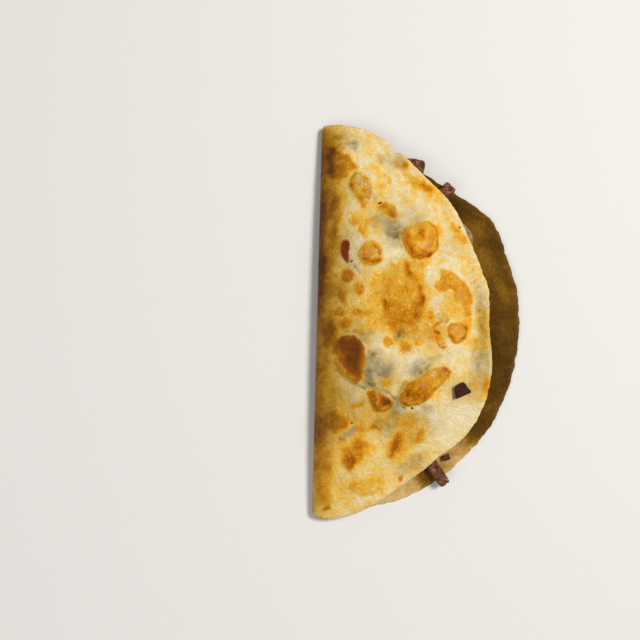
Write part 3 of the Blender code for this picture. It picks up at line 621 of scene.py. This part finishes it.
# Beside the fold the dough is darker: partly fat steeped into it, partly painted shade where the fold curves
# down away from the light, darkest on the fold itself and wider at two places: width added, along Y, spread.
STAIN_AND_SHADE_WIDTH = 15.0
STAIN_AND_SHADE_BULGES = (
    (3.5, -31.0, 9.0),
    (1.5, 12.0, 12.0),
)
skin_y = skin[:, 1]
wider = STAIN_AND_SHADE_WIDTH + sum(more * hump(skin_y, centre_y, spread) for more, centre_y, spread in STAIN_AND_SHADE_BULGES)
fold_stain_and_shade = 0.5 * smooth((wider - x + clouded(skin, (4.0, 12.0, 6), (2.0, 4.0, 23))) / 12.0)
# On the fold itself the darkening is strongest: fat stain and painted shade together.
darkest = 0.14 + 0.2 * smooth((skin_y + 5.0) / 20.0) * smooth((70.0 - skin_y) / 15.0)
fold_stain_and_shade = fold_stain_and_shade + darkest * hump(skin[:, 0], 0.0, 3.0)
fold_stain_and_shade = fold_stain_and_shade * smooth((99.0 - np.abs(y)) / 10.0) * (1.0 - 0.42 * smooth((-y - 45.0) / 20.0))
fold_stain_and_shade = fold_stain_and_shade * (1.0 - 0.75 * puffed)

# The lower leaf's inner face, darkened by some fat it soaked up and by painted shade, most along the side
# where the upper leaf overhangs it; the peak near -55 degrees is the steak strip's painted shadow: angle
# round the rim, depth of colour.
angle = np.degrees(np.arctan2(skin_y, skin[:, 0]))
SOAK_AND_SHADE = (
    (-90, 0.05), (-74, 0.05), (-60, 0.1), (-57, 0.2), (-55.5, 0.7), (-53, 0.75), (-50, 0.25), (-46, 0.2),
    (-42, 0.3), (-37, 0.42), (-32, 0.76), (-24, 0.92), (-5, 0.84), (20, 0.8), (45, 0.95),
)
soak_and_shade = np.interp(angle, *zip(*SOAK_AND_SHADE))
# A ridge along the lower leaf: it is raised below, and painted lighter here as a painted highlight.
lit_ridge = hump(inset - 1.5 * cloudy(skin, 20.0, 16), 8.0, 1.2) * bell(angle, 14.0, 11.0)
soak_and_shade = soak_and_shade + clouded(skin, (0.2, 11.0, 10), (0.14, 3.0, 11)) - 0.14 * lit_ridge
soak_and_shade = soak_and_shade - 0.32 * smooth((inset - 2.0) / 11.0) * bell(angle, 28.0, 11.0) - 0.1 * hump(inset, 0.0, 1.6)

# Blisters stand up crisply from the sheet, and their skin is wrinkled.
RING_BLISTER = (46.0, 40.0, 8.6, 8.6, 0.0)
RING_FOLDS = (47.0, 42.0, 2.5, 2.6, 0.0)
ridges = 1.0 - np.abs(cloudy(skin, 2.6, 13)) * 2.6
nested = np.cos(reach_in(x, y, RING_FOLDS) * 2.0 * math.pi) * spot_cover(x, y, RING_BLISTER, 1.0, 0.2)
lift = 0.34 * wrinkling * ridges + 0.2 * nested + clouded(skin, (0.3, 6.0, 14), (0.16, 2.6, 15))
for spot in BLISTERS:
    crisp = spot_cover(x, y, spot, 1.12, 0.22) - spot_cover(x, y, spot, BLISTER_FOOT, BLISTER_SLOPE)
    lift = lift + 0.2 * spot[5] * crisp
lift = lift - 0.2 * murk_and_shade + 0.5 * fold_line + 0.35 * puffed
skin[:, 2] += np.where(shown, lift, 0.0) * smooth(inset / 3.0)
ripple = 0.25 * lit_ridge + clouded(skin, (0.2, 8.0, 17), (0.1, 3.0, 18))
inner = ~outside
skin[:, 2] += np.where(inner & ~is_upper, ripple, 0.0) * smooth(inset / 2.0) * smooth((16.0 - inset) / 6.0)
place = np.array(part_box("tortilla")[0]) / MM - skin.min(axis=0)
place[2] = 0.0
write_points(tortilla, (skin + place) * MM)
for name, values, elsewhere in (("tone", tone, 0.2), ("wrinkling", wrinkling, 0.2), ("chalk_and_highlight", chalk_and_highlight, 0.1),
                                ("murk_and_shade", murk_and_shade, 0.0), ("red", red, 0.0), ("blush_and_highlight", blush_and_highlight, 0.0)):
    paint(tortilla, name, np.where(shown, values, elsewhere))
for name, values in (("painted_shade", painted_shade), ("fold_stain_and_shade", fold_stain_and_shade)):
    paint(tortilla, name, np.where(outside, values, 0.0))
underside = outside & ~is_upper
paint(tortilla, "underside", np.where(underside, 1.0, 0.0))
# The lower leaf's rim side and the upper leaf's hidden inner face take the same darkened colour: painted
# shade.
rim_soak_and_shade = np.where(underside, smooth((2.6 - inset) / 1.6), 0.0)
leaf_soak_and_shade = np.where(is_upper, smooth((1.0 - reach) / 0.01), 1.0)
paint(tortilla, "inner", np.where(inner, leaf_soak_and_shade, rim_soak_and_shade))
paint(tortilla, "soak_and_shade", soak_and_shade)
bpy.ops.object.shade_smooth()


def seen(red_value, green_value, blue_value):
    """A colour as a photo shows it, 0 to 255, turned into the shader's own scale."""
    parts = [value / 255.0 for value in (red_value, green_value, blue_value)]
    return tuple(part / 12.92 if part < 0.04 else ((part + 0.055) / 1.055) ** 2.4 for part in parts) + (1.0,)


def add_node(tree, kind, **settings):
    """Adds a node and sets what it is given."""
    item = tree.nodes.new(kind)
    for name, value in settings.items():
        setattr(item, name, value)
    return item


def plug(tree, target, source):
    """Sets a socket to a number or a colour, or links it to another node's output."""
    if isinstance(source, tuple):
        target.default_value = seen(*source)
    elif isinstance(source, (int, float)):
        target.default_value = source
    else:
        tree.links.new(source, target)


def calculate(tree, operation, first, second, clamp=False):
    """One step of arithmetic on two values."""
    item = add_node(tree, "ShaderNodeMath", operation=operation, use_clamp=clamp)
    plug(tree, item.inputs[0], first)
    plug(tree, item.inputs[1], second)
    return item.outputs[0]


def times(tree, first, second, clamp=False):
    """One value multiplied by another."""
    return calculate(tree, "MULTIPLY", first, second, clamp)


def plus(tree, first, second, clamp=False):
    """The sum of two values."""
    return calculate(tree, "ADD", first, second, clamp)


def swung(tree, value, amount):
    """A value from 0 to 1 that is made to swing about 0 instead."""
    return times(tree, calculate(tree, "SUBTRACT", value, 0.5), amount)


def blend_colour(tree, share, first, second, kind="MIX"):
    """Mixes two colours by a share."""
    item = add_node(tree, "ShaderNodeMix", data_type="RGBA", blend_type=kind)
    plug(tree, item.inputs["Factor"], share)
    plug(tree, item.inputs["A"], first)
    plug(tree, item.inputs["B"], second)
    return item.outputs["Result"]


def ramp_colour(tree, share, stops):
    """Runs a value through a row of colours."""
    item = add_node(tree, "ShaderNodeValToRGB")
    ramp = item.color_ramp
    while len(ramp.elements) < len(stops):
        ramp.elements.new(0.5)
    for element, (position, colour) in zip(ramp.elements, stops):
        element.position = position
        element.color = seen(*colour)
    plug(tree, item.inputs["Fac"], share)
    return item.outputs["Color"]


def read_paint(tree, name):
    """The value that the mesh keeps for each vertex."""
    return add_node(tree, "ShaderNodeAttribute", attribute_name=name).outputs["Fac"]


def make_mottle_group():
    """Uneven patches of one size, spread between two limits, as all baked food has."""
    group = bpy.data.node_groups.new("baked mottle", "ShaderNodeTree")
    entry = add_node(group, "NodeGroupInput")
    leave = add_node(group, "NodeGroupOutput")
    clouds = add_node(group, "ShaderNodeTexNoise")
    clouds.inputs["Detail"].default_value = 3.0
    clouds.inputs["Roughness"].default_value = 0.6
    spread = add_node(group, "ShaderNodeMapRange")
    wires = (
        ("Vector", "NodeSocketVector", clouds, "Vector"),
        ("Scale", "NodeSocketFloat", clouds, "Scale"),
        ("Distortion", "NodeSocketFloat", clouds, "Distortion"),
        ("Low", "NodeSocketFloat", spread, "From Min"),
        ("High", "NodeSocketFloat", spread, "From Max"),
    )
    for label, kind, item, socket in wires:
        group.interface.new_socket(label, in_out="INPUT", socket_type=kind)
        group.links.new(entry.outputs[label], item.inputs[socket])
    group.interface.new_socket("Value", in_out="OUTPUT", socket_type="NodeSocketFloat")
    group.links.new(clouds.outputs["Fac"], spread.inputs["Value"])
    group.links.new(spread.outputs["Result"], leave.inputs["Value"])
    return group


baked_mottle = make_mottle_group()


def mottle(tree, vector, scale, distortion=0.0, low=0.3, high=0.7):
    """Places the shared mottle with its own size and limits."""
    item = add_node(tree, "ShaderNodeGroup", node_tree=baked_mottle)
    tree.links.new(vector, item.inputs["Vector"])
    for label, value in (("Scale", scale), ("Distortion", distortion), ("Low", low), ("High", high)):
        item.inputs[label].default_value = value
    return item.outputs["Value"]


def new_material(name):
    """A material with its Principled shader and the object's own coordinates."""
    material = bpy.data.materials.new(name)
    material.use_nodes = True
    tree = material.node_tree
    shader = tree.nodes["Principled BSDF"]
    vector = add_node(tree, "ShaderNodeTexCoord").outputs["Object"]
    return material, tree, shader, vector


def add_bump(tree, shader, height, strength, distance):
    """Fine relief that the light picks up."""
    item = add_node(tree, "ShaderNodeBump")
    item.inputs["Strength"].default_value = strength
    item.inputs["Distance"].default_value = distance
    tree.links.new(height, item.inputs["Height"])
    tree.links.new(item.outputs["Normal"], shader.inputs["Normal"])


baked_dough, tree, shader, vector = new_material("baked dough")
wide = mottle(tree, vector, 150.0, 0.3)
middle_sized = mottle(tree, vector, 480.0, 0.6)
fine = mottle(tree, vector, 1300.0, 0.4)
worms = mottle(tree, vector, 560.0, 2.6, 0.38, 0.62)
wrinkled = read_paint(tree, "wrinkling")
depth = read_paint(tree, "tone")
uneven = swung(tree, wide, 0.2)
uneven = plus(tree, uneven, swung(tree, middle_sized, 0.18))
uneven = plus(tree, uneven, swung(tree, fine, 0.05))
depth = plus(tree, depth, times(tree, uneven, calculate(tree, "SUBTRACT", 1.2, depth)))
twisted = swung(tree, worms, wrinkled)
depth = plus(tree, depth, times(tree, twisted, 0.24), clamp=True)

# The hidden underside browned on the griddle as well, in patches of its own.
griddled = times(tree, mottle(tree, vector, 85.0, 0.8, 0.54, 0.66), read_paint(tree, "underside"))
depth = plus(tree, depth, times(tree, griddled, 0.4), clamp=True)
colour = ramp_colour(tree, depth, (
    (0.0, (241, 223, 176)),
    (0.15, (239, 210, 138)),
    (0.3, (245, 193, 74)),
    (0.44, (241, 168, 38)),
    (0.56, (222, 141, 16)),
    (0.68, (186, 108, 2)),
    (0.8, (146, 79, 0)),
    (0.92, (106, 57, 0)),
    (1.0, (64, 32, 2)),
))
# Grey: see-through dough, and painted shade in the lip's dips and in creases.
murk_and_shade_share = times(tree, read_paint(tree, "murk_and_shade"), plus(tree, middle_sized, 0.45), clamp=True)
colour = blend_colour(tree, times(tree, murk_and_shade_share, 0.95), colour, (134, 108, 48))
# White: dry flour, and painted highlights and glints.
chalk_and_highlight_share = times(tree, read_paint(tree, "chalk_and_highlight"), plus(tree, middle_sized, 0.1), clamp=True)
colour = blend_colour(tree, times(tree, chalk_and_highlight_share, 0.75), colour, (232, 218, 188))
# Reddish gold and painted peach highlights on the blisters.
blush_and_highlight_share = times(tree, read_paint(tree, "blush_and_highlight"), times(tree, middle_sized, 0.8))
colour = blend_colour(tree, blush_and_highlight_share, colour, (236, 154, 82))
# Wide painted shade darkens the dough's colour where it lies.
colour = blend_colour(tree, read_paint(tree, "painted_shade"), colour, (204, 196, 170), "MULTIPLY")
# The fold band's colour: fat stain and painted shade, darker towards the fold.
fold_stain_and_shade_share = read_paint(tree, "fold_stain_and_shade")
steeped_and_shaded = plus(tree, times(tree, depth, 0.7), fold_stain_and_shade_share)
stained_and_shaded = ramp_colour(tree, steeped_and_shaded, (
    (0.27, (220, 174, 64)),
    (0.52, (188, 138, 28)),
    (0.74, (150, 98, 8)),
    (0.9, (112, 62, 0)),
    (1.0, (92, 46, 0)),
))
colour = blend_colour(tree, times(tree, fold_stain_and_shade_share, 2.0, clamp=True), colour, stained_and_shaded)
reddish = blend_colour(tree, middle_sized, (98, 28, 0), (140, 54, 0))
colour = blend_colour(tree, read_paint(tree, "red"), colour, reddish)
# The lower leaf's inner colour, pale to dark: soaked fat and painted shade.
soak_and_shade_depth = plus(tree, read_paint(tree, "soak_and_shade"), swung(tree, middle_sized, 0.16), clamp=True)
greasy_and_shaded = ramp_colour(tree, soak_and_shade_depth, (
    (0.0, (230, 194, 130)),
    (0.25, (196, 152, 74)),
    (0.5, (146, 102, 20)),
    (0.75, (106, 72, 10)),
    (1.0, (80, 52, 2)),
))
colour = blend_colour(tree, read_paint(tree, "inner"), colour, greasy_and_shaded)
tree.links.new(colour, shader.inputs["Base Color"])
tree.links.new(plus(tree, times(tree, middle_sized, 0.24), 0.26), shader.inputs["Roughness"])
shader.inputs["Specular IOR Level"].default_value = 0.12
relief = times(tree, worms, plus(tree, wrinkled, 0.2))
relief = plus(tree, relief, times(tree, middle_sized, 0.45))
relief = plus(tree, relief, times(tree, fine, 0.1))
add_bump(tree, shader, relief, 0.8, 0.0009)
tortilla.data.materials.append(baked_dough)
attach(tortilla, "root")
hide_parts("tortilla")


# Char flecks: burnt crumbs of flour from the griddle that stuck to the skin, each a thin
# uneven flake. Along X, along Y, half length, half width, turn.
FLECKS = (
    (27.2, 56.9, 1.15, 0.42, 20), (14.7, 29, 0.9, 0.45, 48), (16.3, 26.7, 0.5, 0.32, -50),
    (16.6, -46.3, 0.5, 0.4, 10), (44.5, -38.5, 0.75, 0.45, -15), (65.2, 46.7, 0.5, 0.35, -50),
)
FLECK_HALF_HEIGHT = 0.14
FLECK_RISE = 0.06
flakes = []
for spot_x, spot_y, half_length, half_width, turn in FLECKS:
    seat = np.argmin(np.hypot(skin[:, 0] - spot_x, skin[:, 1] - spot_y) + np.where(shown, 0.0, 100.0))
    bpy.ops.mesh.primitive_ico_sphere_add(subdivisions=2, radius=1.0)
    flake = bpy.context.object
    shape = read_points(flake)
    shape = shape * (1.0 + 0.35 * cloudy(shape, 0.8, spot_x))[:, None]
    shape = shape * (half_length, half_width, FLECK_HALF_HEIGHT)
    shape = np.stack((*turned(shape[:, 0], shape[:, 1], turn), shape[:, 2] + FLECK_RISE), axis=1) + skin[seat]
    write_points(flake, (shape + place) * MM)
    flakes.append(flake)
bpy.ops.object.select_all(action="DESELECT")
for flake in flakes:
    flake.select_set(True)
bpy.context.view_layer.objects.active = flakes[0]
bpy.ops.object.join()
char_flecks = flakes[0]
char_flecks.name = "char_flecks"
burnt, tree, shader, vector = new_material("burnt flour")
colour = blend_colour(tree, mottle(tree, vector, 1800.0), (46, 24, 6), (104, 66, 20))
tree.links.new(colour, shader.inputs["Base Color"])
shader.inputs["Roughness"].default_value = 0.6
shader.inputs["Specular IOR Level"].default_value = 0.1
char_flecks.data.materials.clear()
char_flecks.data.materials.append(burnt)
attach(char_flecks, "root")


# The filling: grated cheese melted around chopped steak, squeezed out to an uneven edge
# between the two leaves. It holds the leaves together.
FILLING_RECESS = 5.0

# How the filling's edge strays: outward step, angle, spread.
FILLING_BULGES = (
    (8.5, 33, 7.5), (4.5, -44, 3), (2.5, 4, 9), (-5.8, -51.2, 5.4), (-6.5, 60, 7.5), (-2.5, -12, 7),
)
FILLING_ROWS = 44
FILLING_COLUMNS = 170
FILLING_START = 0.13
FILLING_GAP = 0.3
FILLING_EDGE_HEIGHT = 2.6
OVERHANG_BAND = 3.5


def filling_radius(angle):
    """How far out the filling reaches between the two leaves."""
    radius = rim_radius(angle) - FILLING_RECESS
    for bulge, centre_angle, spread in FILLING_BULGES:
        radius = radius + bulge * bell(angle, centre_angle, spread)
    return radius


bpy.ops.mesh.primitive_grid_add(x_subdivisions=FILLING_ROWS, y_subdivisions=FILLING_COLUMNS, size=2.0)
cheese = bpy.context.object
cheese.name = "melted_cheese"
square = read_points(cheese)
u = FILLING_START + (1.0 - FILLING_START) * (square[:, 0] + 1.0) / 2.0
v = square[:, 1]
across, along = on_disc(u, v)
angle = np.degrees(np.arctan2(along, across))
frilled = np.sin(np.radians(23.0 * angle)) * np.sin(np.radians(7.0 * angle + 30.0))
radius = filling_radius(angle) + 0.9 * frilled
x = across * radius
y = along * radius
cheese_rim = rim_radius(angle)
reach_here = np.minimum(np.hypot(x, y) / cheese_rim, 1.0)
crown = upper_leaf_height(x, y, reach_here, cheese_rim) - FILLING_GAP
overhang = np.maximum(np.hypot(x, y) - cheese_rim + OVERHANG_BAND, 0.0)
floor_height = TORTILLA_THICKNESS + FILLING_GAP + lower_leaf_lift(x, y)
crown = np.maximum(crown - 0.9 * overhang, np.minimum(crown, floor_height + FILLING_EDGE_HEIGHT))
room = crown - floor_height
half_way = floor_height + room / 2.0
write_points(cheese, np.stack((x, y, half_way), axis=1))
thicken(cheese, "cheese thickness", 1.0)
first_is_top = read_points(cheese)[0, 2] > half_way[0]
signs = np.repeat((1.0, -1.0) if first_is_top else (-1.0, 1.0), len(x))
edge_distance = np.tile(np.minimum(1.0 - np.abs(square[:, 0]) * (square[:, 0] > 0), 1.0 - np.abs(v)), 2)
points = np.stack((np.tile(x, 2), np.tile(y, 2), np.tile(half_way, 2)), axis=1)
swell = 1.0 - 0.45 * hump(edge_distance, 0.0, 0.03)
lumps = clouded(points, (0.5, 5.0, 11), (0.25, 2.0, 12))
points[:, 2] += signs * np.tile(room, 2) / 2.0 * swell
out_of_leaves = np.tile(overhang, 2) > 0.5
points[:, 2] -= np.where((signs > 0) & out_of_leaves, np.abs(lumps), 0.0)
write_points(cheese, (points + place) * MM)
# The cheese outside the leaves is painted darker, as painted shade, fully on top and half below.
paint(cheese, "shaded_bare_edge", smooth((np.tile(overhang, 2) - 1.0) / 3.0) * np.where(signs > 0, 1.0, 0.5))
bpy.ops.object.shade_smooth()

soft_cheese, tree, shader, vector = new_material("soft melted cheese")
clouds_wide = mottle(tree, vector, 160.0, 0.3)
clouds_fine = mottle(tree, vector, 700.0, 0.5)
colour = ramp_colour(tree, clouds_wide, (
    (0.0, (196, 146, 80)),
    (0.45, (222, 180, 112)),
    (1.0, (238, 210, 154)),
))
meaty = mottle(tree, vector, 130.0, 0.8, 0.56, 0.66)
colour = blend_colour(tree, times(tree, meaty, 0.75, clamp=True), colour, (132, 88, 66))
# Painted shade on the bare cheese edge: a darker, duller tan.
shaded_cheese = blend_colour(tree, clouds_fine, (156, 116, 54), (124, 86, 34))
colour = blend_colour(tree, read_paint(tree, "shaded_bare_edge"), colour, shaded_cheese)
tree.links.new(colour, shader.inputs["Base Color"])
shader.inputs["Roughness"].default_value = 0.34
shader.inputs["Subsurface Weight"].default_value = 0.15
shader.inputs["Subsurface Radius"].default_value = (0.003, 0.0015, 0.0006)
add_bump(tree, shader, clouds_fine, 0.35, 0.0006)
cheese.data.materials.append(soft_cheese)
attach(cheese, "root")
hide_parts("filling")


# The steak: grilled, then chopped by hand into short blocks whose grain runs lengthwise.
# A strip, two blocks and a bit poke out of the open side; one crumb lies on top.
STEAK_GAP = 0.35
STEAK_CUTS = 9


def on_lower_leaf(x, y):
    """The height of the lower leaf's inner face."""
    return TORTILLA_THICKNESS + lower_leaf_lift(x, y)


def on_upper_leaf(x, y):
    """The height of the upper leaf's outer face."""
    rim = rim_radius(np.degrees(np.arctan2(y, x)))
    height = upper_leaf_height(x, y, np.hypot(x, y) / rim, rim)
    return height + blister_rise(x, y) + TORTILLA_THICKNESS


def chop_steak(name, size, spot, turn, seed, seat, corners):
    """A block of steak with round corners, torn ends and long soft grooves."""
    bpy.ops.mesh.primitive_cube_add(size=1.0)
    piece = bpy.context.object
    piece.name = name
    bpy.ops.object.mode_set(mode="EDIT")
    bpy.ops.mesh.subdivide(number_cuts=STEAK_CUTS)
    bpy.ops.object.mode_set(mode="OBJECT")
    block = read_points(piece)
    length, width, _ = size
    corner = np.abs(block * 2.0) ** 5
    pull = 1.0 / (1.0 + 0.35 * np.maximum(corner.sum(axis=1) - 1.0, 0.0)) ** 0.35
    block = block * pull[:, None] * size
    dents = cloudy(block * np.array((0.5, 1.0, 1.0)), 1.6, seed)
    torn = cloudy(block, 3.0, seed + 1)
    block = block * (1.0 + 0.07 * dents + 0.09 * torn)[:, None]
    if corners:
        s = (block[:, 0] / length + 0.5)[:, None]
        t = (block[:, 1] / width + 0.5)[:, None]
        first, second, third, fourth = (np.array(corner) for corner in corners)
        block[:, :2] = (1 - t) * ((1 - s) * first + s * second) + t * ((1 - s) * fourth + s * third)
    turned_x, turned_y = turned(block[:, 0], block[:, 1], turn)
    x = spot[0] + turned_x
    y = spot[1] + turned_y
    z = block[:, 2] - block[:, 2].min() + STEAK_GAP + seat(x, y)
    write_points(piece, (np.stack((x, y, z), axis=1) + place) * MM)
    bpy.ops.object.shade_smooth()
    return piece


def make_meat(name, flesh, fat, sear, sear_low, sear_high, turn):
    """Cooked beef: fibres along the piece, paler sinew and a seared crust in patches."""
    material, tree, shader, vector = new_material(name)
    grain = add_node(tree, "ShaderNodeMapping")
    grain.inputs["Rotation"].default_value = (0.0, 0.0, math.radians(turn))
    grain.inputs["Scale"].default_value = (0.22, 1.0, 1.0)
    tree.links.new(vector, grain.inputs["Vector"])
    fibres = mottle(tree, grain.outputs["Vector"], 900.0, 0.4)
    patches = mottle(tree, vector, 420.0, 0.5, sear_low, sear_high)
    colour = ramp_colour(tree, fibres, ((0.0, flesh), (0.6, flesh), (1.0, fat)))
    colour = blend_colour(tree, times(tree, patches, 0.9, clamp=True), colour, sear)
    tree.links.new(colour, shader.inputs["Base Color"])
    shader.inputs["Roughness"].default_value = 0.42
    shader.inputs["Specular IOR Level"].default_value = 0.14
    add_bump(tree, shader, fibres, 0.8, 0.0006)
    return material


# Colours of the flesh, the fat and the sear, then where the sear starts and is full.
STEAK_MEAT = ((126, 76, 48), (190, 136, 102), (64, 26, 6), 0.4, 0.62)
BIT_MEAT = ((98, 52, 20), (132, 82, 44), (64, 28, 6), 0.4, 0.7)
CRUMB_MEAT = ((66, 26, 14), (104, 54, 34), (40, 14, 8), 0.3, 0.7)
STEAK_PIECES = (
    ("steak_strip", (17.0, 5.4, 4.2), (57.3, -68.3), -56.0, 21, on_lower_leaf, STEAK_MEAT),
    ("steak_corner", (10.0, 9.2, 3.6), (43.0, 74.6), -8.0, 25, on_lower_leaf, STEAK_MEAT),
    ("steak_edge", (7.4, 6.0, 4.2), (58.8, 64.1), 47.0, 37, on_lower_leaf, STEAK_MEAT),
    ("steak_bit", (3.4, 2.8, 2.2), (62.3, -62.4), 20.0, 29, on_lower_leaf, BIT_MEAT),
    ("steak_crumb", (7.6, 6.4, 3.0), (67.6, -29.9), -22.0, 33, on_upper_leaf, CRUMB_MEAT),
)
CRUMB_CORNERS = ((-3.0, -3.9), (4.6, -0.7), (0.8, 4.3), (-3.9, 2.1))
for name, size, spot, turn, seed, seat, (flesh, fat, sear, low, high) in STEAK_PIECES:
    corners = CRUMB_CORNERS if name == "steak_crumb" else ()
    piece = chop_steak(name + "_cut", size, spot, 0.0 if corners else turn, seed, seat, corners)
    meat = make_meat(name + " meat", flesh, fat, sear, low, high, -turn)
    piece.data.materials.append(meat)
    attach(piece, "root")
    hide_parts(name)


# The floor, the light and the camera: a pale surface, soft studio light from the open side,
# and the photo's view straight down.
bpy.ops.mesh.primitive_plane_add(size=4.0)
floor = bpy.context.object
floor.name = "floor"
pale_floor, tree, shader, vector = new_material("pale floor")
plug(tree, shader.inputs["Base Color"], (226, 224, 220))
shader.inputs["Roughness"].default_value = 0.85
floor.data.materials.append(pale_floor)


def add_lamp(name, spot, size, power, colour):
    """A square soft light that looks at the middle of the food."""
    data = bpy.data.lights.new(name, "AREA")
    data.shape = "SQUARE"
    data.size = size
    data.energy = power
    data.color = colour
    lamp = bpy.data.objects.new(name, data)
    bpy.context.collection.objects.link(lamp)
    lamp.location = spot
    lamp.rotation_euler = (-Vector(spot)).to_track_quat("-Z", "Y").to_euler()


add_lamp("key light", (0.68, 0.38, 1.25), 0.42, 18.2, (1.0, 0.98, 0.95))
add_lamp("fill light", (-0.6, -0.5, 0.9), 0.8, 3.0, (0.98, 0.99, 1.0))
world = bpy.data.worlds.new("soft room")
world.use_nodes = True
backdrop = world.node_tree.nodes["Background"]
backdrop.inputs["Color"].default_value = (1.0, 1.0, 1.0, 1.0)
backdrop.inputs["Strength"].default_value = 0.28
bpy.context.scene.world = world
bpy.context.scene.view_settings.view_transform = "Standard"

# The frame is as wide as the photo is at the food, in metres; the spot is in millimetres.
CAMERA_HEIGHT = 0.5
FRAME_WIDTH = 0.3075
CAMERA_SPOT = (0.44, 1.44)
CAMERA_TURN = 1.49
lens = bpy.data.cameras.new("camera")
lens.lens = lens.sensor_width * CAMERA_HEIGHT / FRAME_WIDTH
lens.clip_start = 0.01
camera = bpy.data.objects.new("camera", lens)
bpy.context.collection.objects.link(camera)
camera.location = ((CAMERA_SPOT[0] + place[0]) * MM, (CAMERA_SPOT[1] + place[1]) * MM, CAMERA_HEIGHT)
camera.rotation_euler = (0.0, 0.0, math.radians(CAMERA_TURN))
bpy.context.scene.camera = camera
